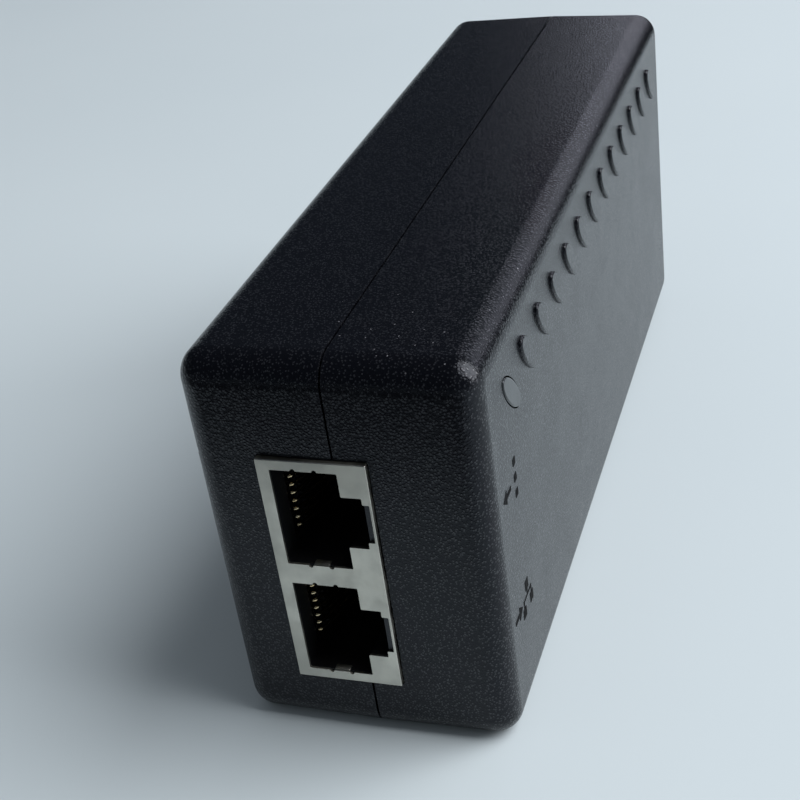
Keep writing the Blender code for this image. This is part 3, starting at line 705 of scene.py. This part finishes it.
# %% [markdown]
# ## The jack's shield
# The real shield is tin-plated steel 0.3 mm thick, stamped and folded into a box that is open
# towards the board. The folds are tight but round. Its face has two stepped openings, one for
# each plug and its latch, and beside each opening small round relief cuts where an earthing tab
# is bent inwards. The box is cut from a rounded block, so that the folds and the sheet's
# thickness are both right, and the openings are cut through the face.

# %% Shield with its two openings
SHEET = 0.3 * MM
PORT_PITCH = 14.23 * MM
PORT_HALF = 5.85 * MM
PORT_FLOOR = plate_low[0] + 1.42 * MM
PORT_TOP = plate_low[0] + 8.61 * MM
LATCH_HALF, LATCH_TOP = 3.09 * MM, plate_low[0] + 10.78 * MM
CATCH_HALF, CATCH_TOP = 2.31 * MM, plate_low[0] + 11.5 * MM
TAB_X = (plate_low[0] + 3.95 * MM, plate_low[0] + 6.25 * MM)
RELIEF_RADIUS = 0.27 * MM
jack_middle = (plate_low[2] + plate_high[2]) / 2
PORTS = {"upper": jack_middle + PORT_PITCH / 2, "lower": jack_middle - PORT_PITCH / 2}


def port_outline(centre, steps, grow=0.0):
    """A stepped opening in (x, z): each step is (half width, where it ends along X)."""
    half = np.repeat([width + grow for width, _ in steps], 2)
    ends = [PORT_FLOOR - grow] + [end + grow for _, end in steps]
    x = np.repeat(ends, 2)[1:-1]
    right = np.stack([x, centre + half], axis=-1)
    left = np.stack([x, centre - half], axis=-1)[::-1]
    return np.concatenate([right, left])


full_steps = [(PORT_HALF, PORT_TOP), (LATCH_HALF, LATCH_TOP), (CATCH_HALF, CATCH_TOP)]
shield = make_mesh("jack_face_and_sides", [soft_box(plate_low, plate_high, 0.12 * MM, axis=1, steps=5)])
inside_low = plate_low + (-2 * SHEET, SHEET, SHEET)
inside_high = plate_high - SHEET
combined(shield, make_mesh("hollow tool", [soft_box(inside_low, inside_high, 0.1 * MM, axis=1)]))
mouth = (plate_low[1] - SHEET, plate_low[1] + 2.5 * SHEET)
mouths = [prism(eased(port_outline(z, full_steps), 0.12 * MM), *mouth, 1) for z in PORTS.values()]
combined(shield, make_mesh("mouth tools", mouths))
reliefs = []
for z in PORTS.values():
    for x in TAB_X:
        for edge_z in (z - PORT_HALF, z + PORT_HALF):
            foot = (x, mouth[0], edge_z)
            reliefs.append(soft_drum(foot, RELIEF_RADIUS, mouth[1] - mouth[0], 0.02 * MM, 1, 20))
combined(shield, make_mesh("relief tools", reliefs))
settle(shield, tin_plate, "tin_plate", "jack_shield", bevel=0.04 * MM, sharp=50.0)

# %% [markdown]
# Each earthing tab is a strip of the same sheet, folded back into the opening and bowed a little
# towards the plug. A plain block would not bow. The strip's middle line runs straight back from
# the face and follows half a sine wave, and its thin outline is carried along that line.


# %% Earthing tabs
def tab_rows(centre, toward):
    """A strip that starts in the face, runs straight back square to it and bows out: height
    0.08 mm sin(pi t) over a run of 0.8 mm, half a sheet's thickness either side."""
    t = np.linspace(0.0, 1.0, 17)
    run = plate_low[1] + SHEET * 0.6 + t * 0.8 * MM
    lift = centre - toward * (PORT_HALF + 0.02 * MM) + toward * 0.08 * MM * np.sin(np.pi * t)
    half = SHEET * 0.35
    low = np.stack([np.full_like(t, TAB_X[0] + 0.3 * MM), lift - half], axis=-1)
    high = np.stack([np.full_like(t, TAB_X[1] - 0.3 * MM), lift + half], axis=-1)
    return stand(rounded_rows(low, high, np.full_like(t, 0.05 * MM), 2), run, 1)


tabs = make_mesh("jack_earthing_tabs", [tab_rows(z, toward) for z in PORTS.values() for toward in (1, -1)])
settle(tabs, tin_plate, "tin_plate")

# %% [markdown]
# ## The jack's moulding
# Inside the shield a black moulding guides the plug. Each cavity has the plug's width and the
# latch's width only: the shield's outermost notch shows the moulding's own face just behind it.
# A well in the floor lets the springs move. The real moulding's two low ribs that keep the plug in the
# middle are left out.

# %% Housing
housing_low, housing_high = (np.array(corner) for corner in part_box("jack_housing"))
housing_low[1] = plate_low[1] + 1.1 * SHEET
housing_high[0] = plate_high[0] - 1.1 * SHEET
housing = make_mesh("jack_moulding", [soft_box(housing_low, housing_high, 0.1 * MM, axis=1)])
inner_steps = [(PORT_HALF, PORT_TOP), (LATCH_HALF, LATCH_TOP)]
cavity = (plate_low[1] - SHEET, FRONT + 13.0 * MM)
cavities = [
    prism(eased(port_outline(z, inner_steps, 0.03 * MM), 0.15 * MM), *cavity, 1)
    for z in PORTS.values()
]
combined(housing, make_mesh("cavity tools", cavities))
wells = []
for z in PORTS.values():
    low = (plate_low[0] + 0.29 * MM, FRONT + 2.6 * MM, z - 4.9 * MM)
    high = (PORT_FLOOR + 0.5 * MM, FRONT + 12.8 * MM, z + 4.9 * MM)
    wells.append(soft_box(low, high, 0.1 * MM, steps=2))
combined(housing, make_mesh("well tools", wells))
settle(housing, jack_black, "jack_plastic", "jack_housing", bevel=0.06 * MM, sharp=50.0)

# %% [markdown]
# ## Contact carriers and springs
# Eight gold-plated springs stand in a moulded comb. Each spring is one wire 0.4 mm thick: a
# short tail, a tight bend near the mouth and a straight arm that slopes up into the cavity. A
# plug presses all eight down together. The wire is a circle carried along its middle line, with
# its radius falling off at both tips so that no end is cut square.

# %% Carriers with their combs
PITCH = 1.016 * MM
WIRE_RADIUS = 0.2 * MM
OFFSETS = (np.arange(8) - 3.5) * PITCH
for place, z in PORTS.items():
    low, high = (np.array(corner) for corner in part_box(f"contact_carrier_{place}"))
    floor_top, stop_foot = low[0] + 0.65 * MM, high[1] - 0.5 * MM
    profile = [
        (low[0], low[1]), (floor_top, low[1]), (floor_top, stop_foot),
        (high[0], stop_foot), (high[0], high[1]), (low[0], high[1]),
    ]
    parts = [prism(eased(profile, 0.1 * MM, 2), low[2], high[2], 2)]
    for gap_z in z + (np.arange(9) - 4.0) * PITCH:
        tooth_low = (floor_top - 0.1 * MM, low[1] + 0.3 * MM, gap_z - 0.14 * MM)
        tooth_high = (floor_top + 0.55 * MM, stop_foot + 0.1 * MM, gap_z + 0.14 * MM)
        parts.append(soft_box(tooth_low, tooth_high, 0.05 * MM, steps=2))
    settle(make_mesh(f"contact_comb_{place}", parts), jack_black, "jack_plastic", f"contact_carrier_{place}")

# %% Springs
BEND = 0.5 * MM
SLOPE = np.radians(22.0)
ARM_REACH = 7.25 * MM
TAIL = 0.65 * MM
TIP_FLAT = 0.001 * MM
spring_axis = (-6.85 * MM, FRONT + 3.75 * MM)


def spring_line():
    """The middle line in (x, y) from the hinge line: a straight tail, a bend of radius 0.5 mm
    through half a turn less the slope, and a straight arm."""
    turn = -np.pi / 2 - (np.pi - SLOPE) * np.linspace(0.0, 1.0, 17)
    bend = np.stack([BEND * np.sin(turn), BEND * np.cos(turn)], axis=-1)
    tail = np.stack([np.full(4, -BEND), np.linspace(TAIL, 0.08 * MM, 4)], axis=-1)
    y = np.linspace(bend[-1, 1], ARM_REACH, 14)[1:]
    arm = np.stack([bend[-1, 0] + (y - bend[-1, 1]) * np.tan(SLOPE), y], axis=-1)
    return np.concatenate([tail, bend, arm])


def with_round_tips(line, radius):
    """The line with four more points at each end, and radii that close like a half ball:
    radius cos t at radius sin t before the end."""
    turn = np.linspace(0.1, np.pi / 2, 4)
    step = line[1] - line[0]
    start = line[0] + step / np.linalg.norm(step) * radius * (1 - np.sin(turn[::-1]))[:, None]
    step = line[-1] - line[-2]
    end = line[-1] - step / np.linalg.norm(step) * radius * (1 - np.sin(turn))[:, None]
    path = np.concatenate([start, line[1:-1], end])
    cap = radius * np.cos(turn) + TIP_FLAT
    return path, np.concatenate([cap[::-1], np.full(len(line) - 2, radius), cap])


flat_line, radii = with_round_tips(spring_line(), WIRE_RADIUS)
for place, centre in PORTS.items():
    for number, offset in enumerate(OFFSETS, 1):
        path = stand(flat_line[None], [centre + offset], 2)[0] + (*spring_axis, 0.0)
        wire = make_mesh(f"spring_{place}_{number}", [tube(path, radii, (0.0, 0.0, 1.0))])
        settle(wire, spring_gold, "gold_wire", f"contact_{place}_{number}", body=f"{place}_contacts")

# %% [markdown]
# ## Mains inlet
# The far end takes an appliance cord. The inlet is a deep black well with two corners cut off on
# the earth side, a thick rim flush with the case, and three flat pins with tapered tips. The
# body is a rounded block, the well is cut with a rounded outline, and each pin is a stack of
# rounded rectangles that narrow towards the tip.

# %% Inlet and pins
inlet_low, inlet_high = (np.array(corner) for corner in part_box("inlet_housing"))
inlet_middle = (inlet_low[2] + inlet_high[2]) / 2
wing = 1.2 * MM
body_low, body_high = inlet_low + (0, 0, wing), inlet_high - (0, 0, wing)
inlet = make_mesh("inlet_body", [soft_box(body_low, body_high, 0.35 * MM, axis=1, corner=0.8 * MM)])
wing_low = (-4.0 * MM, BACK - 3.9 * MM, inlet_low[2])
wing_high = (4.0 * MM, BACK - 2.5 * MM, inlet_high[2])
combined(inlet, make_mesh("wing tool", [soft_box(wing_low, wing_high, 0.3 * MM, axis=2)]), "UNION")
half_x, half_z, cut = 8.2 * MM, 12.1 * MM, 4.0 * MM
well = np.array([
    (-half_x, -half_z), (half_x - cut, -half_z), (half_x, cut - half_z),
    (half_x, half_z - cut), (half_x - cut, half_z), (-half_x, half_z),
]) + (0.0, inlet_middle)
well_floor = inlet_high[1] - 16.5 * MM
combined(inlet, make_mesh("well tool", [prism(eased(well, 0.9 * MM, 6), well_floor, BACK + WALL, 1)]))
slots = []
for pin in ("live", "neutral", "earth"):
    low, high = (np.array(corner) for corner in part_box(f"inlet_pin_{pin}"))
    slot_low = (low[0] - GAP, inlet_low[1] - WALL, low[2] - GAP)
    slot_high = (high[0] + GAP, well_floor + WALL, high[2] + GAP)
    slots.append(soft_box(slot_low, slot_high, 0.1 * MM, axis=1, steps=2))
    tip = np.linspace(0.0, 1.0, 7)
    along = np.concatenate([[low[1]], high[1] - 2.2 * MM + 2.2 * MM * np.sin(tip * np.pi / 2)])
    taper = np.concatenate([[0.0], 0.62 * MM * (1 - np.cos(tip * np.pi / 2))])[:, None]
    flat = rounded_rows(low[[0, 2]] + taper, high[[0, 2]] - taper, 0.3 * MM - 0.15 * taper[:, 0], 4)
    blade = make_mesh(f"inlet_blade_{pin}", [stand(flat, along, 1)])
    settle(blade, pin_nickel, "pin_metal", f"inlet_pin_{pin}")
combined(inlet, make_mesh("slot tools", slots))
settle(inlet, inlet_black, "inlet_plastic", "inlet_housing", bevel=0.12 * MM, sharp=50.0)

# %% [markdown]
# ## Printed marks
# Beside each port the cover has a small dark print. Plain signs take its place here: an arrow
# out of the upper port with three dots for power, and an arrow into the lower one with three
# joined squares for a network. Ink has a thickness, so each sign is a film of 0.03 mm.


# %% Signs beside the ports
def sign(shapes, centre_y, centre_z):
    """Films of ink: outlines in millimetres about a centre, each with eased corners."""
    rows = []
    for shape in shapes:
        outline = eased(np.array(shape) * MM, 0.06 * MM, 2) + (centre_y, centre_z)
        rows.append(prism(outline, COVER_FACE - 0.02 * MM, COVER_FACE + 0.03 * MM, 0))
    return rows


def bar(y, z, half_y, half_z):
    """A filled rectangle about a centre."""
    left, right, low, high = y - half_y, y + half_y, z - half_z, z + half_z
    return [(left, low), (right, low), (right, high), (left, high)]


def arrow(y, z, way):
    """An arrow three millimetres long that points along Y, one way or the other."""
    shape = np.array([
        (-1.5, -0.25), (0.2, -0.25), (0.2, -0.9), (1.5, 0.0), (0.2, 0.9), (0.2, 0.25), (-1.5, 0.25),
    ])
    return (shape * (way, 1.0) + (y, z)).tolist()


network = [bar(0.0, 1.3, 0.6, 0.6), bar(-1.5, -1.4, 0.6, 0.6), bar(1.5, -1.4, 0.6, 0.6)]
network += [bar(0.0, 0.0, 1.7, 0.12), bar(0.0, 0.4, 0.12, 0.4)]
network += [bar(-1.5, -0.45, 0.12, 0.45), bar(1.5, -0.45, 0.12, 0.45)]
power = [bar(1.8, offset, 0.45, 0.45) for offset in (-1.9, 0.0, 1.9)]
upper_sign = sign([arrow(-1.6, 0.0, -1.0)] + power, FRONT + 7.6 * MM, 28.7 * MM)
moved = [(np.array(shape) + (1.7, 0.0)).tolist() for shape in network]
lower_sign = sign([arrow(-2.0, 0.0, 1.0)] + moved, FRONT + 7.6 * MM, 13.6 * MM)
settle(make_mesh("printed_signs", upper_sign + lower_sign), ink_black, "case_plastic")

# %% [markdown]
# ## Finishes of the inside
# The board and its parts sit in the dark, but the cover can be taken off in another scene. Each
# keeps its CAD shape and gets the finish of the real part: green lacquer over copper, shrink
# sleeve on the cans, matt epoxy on the chips, sintered ferrite, yellow film and enamelled wire.

# %% Inner finishes
plastics = {
    "circuit_board": (
        (0.006, 0.05, 0.022), (0.012, 0.085, 0.035), (0.2, 0.16, 0.06), (0.22, 0.34), 700.0, 0.01,
    ),
    "component_black": (
        (0.008, 0.008, 0.009), (0.014, 0.014, 0.015), (0.04, 0.04, 0.04), (0.45, 0.6), 4200.0,
    ),
    "can_sleeve": (
        (0.006, 0.009, 0.026), (0.01, 0.014, 0.04), (0.05, 0.06, 0.1), (0.2, 0.32), 900.0, 0.004,
    ),
    "ferrite": (
        (0.028, 0.028, 0.031), (0.05, 0.05, 0.054), (0.1, 0.1, 0.1), (0.5, 0.7), 2200.0, 0.02,
    ),
    "winding_tape": (
        (0.62, 0.46, 0.05), (0.75, 0.6, 0.1), (0.8, 0.7, 0.3), (0.25, 0.4), 900.0, 0.006,
    ),
    "film_yellow": ((0.6, 0.4, 0.04), (0.72, 0.5, 0.07), (0.75, 0.6, 0.2), (0.3, 0.42), 2600.0),
    "disc_blue": (
        (0.03, 0.1, 0.32), (0.05, 0.15, 0.42), (0.1, 0.2, 0.5), (0.25, 0.4), 1200.0, 0.02,
    ),
    "insulating_paper": (
        (0.46, 0.43, 0.34), (0.58, 0.55, 0.46), (0.6, 0.58, 0.5), (0.7, 0.9), 1500.0, 0.03,
    ),
}
metals = {
    "enamelled_copper": ((0.5, 0.16, 0.05), (0.66, 0.25, 0.09), (0.18, 0.3), 5200.0),
    "heat_sink_metal": ((0.56, 0.57, 0.58), (0.7, 0.71, 0.72), (0.3, 0.45), 1800.0, 0.008),
    "screw_steel": ((0.42, 0.42, 0.43), (0.56, 0.56, 0.57), (0.2, 0.35)),
}
inner_finishes = {slot: moulded(slot.replace("_", " "), *values) for slot, values in plastics.items()}
inner_finishes |= {slot: metal(slot.replace("_", " "), *values) for slot, values in metals.items()}
inner_finishes["led_body"] = clear_grey
slot_of = {row["node"]: row["material_slot"] for row in frame["record"]["subparts"]}
print("slots named by the record:", len(slot_of))

# %% Give each remaining CAD piece its finish
for name, node in frame["nodes"].items():
    if node.hide_render:
        continue
    slot = slot_of[name]
    print("kept CAD piece", name, "slot", slot)
    node.data.materials.clear()
    node.data.materials.append(inner_finishes[slot])

# %% [markdown]
# ## Floor
# The object stands on a pale, cool desk. It is one big flat face with a slight cloudiness and a
# faint tooth, so that it isn't a dead flat colour. Far from the object its own colour fades and
# a faint glow takes over, so that it is neither burnt out under the big light nor dark beyond
# it, and it runs into the room without an edge.

# %% Floor
HAZE = (0.5, 0.57, 0.6)
floor_finish, tree, shader = blank_finish("desk")
cloudy = noise(tree, 9.0, 3.0)
far_off = add(tree, "ShaderNodeVectorMath", {0: object_point(tree)}, operation="LENGTH").outputs["Value"]
fade = ranged(tree, far_off, 0.35, 1.1)
near = blended(tree, cloudy, (0.56, 0.63, 0.66), (0.61, 0.675, 0.7))
tree.links.new(blended(tree, fade, near, (0.13, 0.145, 0.15)), shader.inputs["Base Color"])
shader.inputs["Roughness"].default_value = 0.6
bumped(tree, shader, noise(tree, 900.0, 2.0), 0.2, 0.02 * MM)
tree.links.new(blended(tree, fade, (0.0, 0.0, 0.0), HAZE), shader.inputs["Emission Color"])
shader.inputs["Emission Strength"].default_value = 1.0


def flat_sheet(name, corners, finish):
    """One four-sided face that isn't part of the object."""
    mesh = bpy.data.meshes.new(name)
    mesh.from_pydata(corners, [], [(0, 1, 2, 3)])
    mesh.materials.append(finish)
    sheet = bpy.data.objects.new(name, mesh)
    bpy.context.scene.collection.objects.link(sheet)
    return sheet


REACH = 4.0
desk_corners = [(-REACH, -REACH, 0), (REACH, -REACH, 0), (REACH, REACH, 0), (-REACH, REACH, 0)]
flat_sheet("desk", desk_corners, floor_finish)

# %% [markdown]
# ## Light
# A glossy black object is lit by what it mirrors. One big soft source stands to the right and
# above and lights the desk. A pale panel low behind mirrors in the top of the cover and leaves
# the base black. Two black cards work as a photographer's flags: the one under that panel draws
# the dark line along the cover's upper edge, and the one that lies in front keeps the jack's
# end dark. Only reflections see them. The room is dim to reflections, fills shadows a little
# and looks pale to the camera.


# %% Lights, cards and room
def soft_light(name, place, target, size, radiance, colour):
    """An area light at a place that looks at a target. Its power is radiance x pi x area."""
    data = bpy.data.lights.new(name, "AREA")
    data.shape = "RECTANGLE"
    data.size, data.size_y = size
    data.energy = radiance * np.pi * size[0] * size[1]
    data.color = colour
    light = bpy.data.objects.new(name, data)
    light.location = place
    away = light.location - type(light.location)(target)
    light.rotation_euler = away.to_track_quat("Z", "Y").to_euler()
    bpy.context.scene.collection.objects.link(light)


soft_light("main", (0.918, 0.212, 0.854), (0.0, 0.0, 0.0), (0.98, 1.5), 6.0, (0.97, 0.98, 1.0))
soft_light("pale panel", (0.235, 0.88, 0.33), (0.0, 0.0, 0.05), (0.86, 0.38), 1.25, (0.86, 0.87, 1.0))
card_finish, _, shader = blank_finish("black card")
shader.inputs["Base Color"].default_value = (0.01, 0.01, 0.011, 1.0)
shader.inputs["Roughness"].default_value = 0.9
behind = [(-0.06, 0.25, 0), (0.45, 0.25, 0), (0.45, 0.25, 0.08), (-0.06, 0.25, 0.08)]
in_front = [(-0.35, -0.5, MM), (0.1, -0.5, MM), (0.1, -0.104, MM), (-0.35, -0.104, MM)]
for name, corners in (("card behind", behind), ("card in front", in_front)):
    card = flat_sheet(name, corners, card_finish)
    card.visible_camera = False
    card.visible_diffuse = False
    card.visible_shadow = False
world = bpy.data.worlds.new("room")
world.use_nodes = True
tree = world.node_tree
background = tree.nodes["Background"]
background.inputs["Color"].default_value = (0.04, 0.05, 0.065, 1.0)
path = add(tree, "ShaderNodeLightPath")
shown = background.outputs[0]
seen_by = {"Is Diffuse Ray": (0.18, 0.195, 0.21, 1.0), "Is Camera Ray": (0.62, 0.7, 0.74, 1.0)}
for ray, colour in seen_by.items():
    other = add(tree, "ShaderNodeBackground", {"Color": colour}).outputs[0]
    mixed = add(tree, "ShaderNodeMixShader", {0: path.outputs[ray], 1: shown, 2: other})
    shown = mixed.outputs[0]
tree.links.new(shown, tree.nodes["World Output"].inputs["Surface"])
bpy.context.scene.world = world
bpy.context.scene.view_settings.view_transform = "Standard"
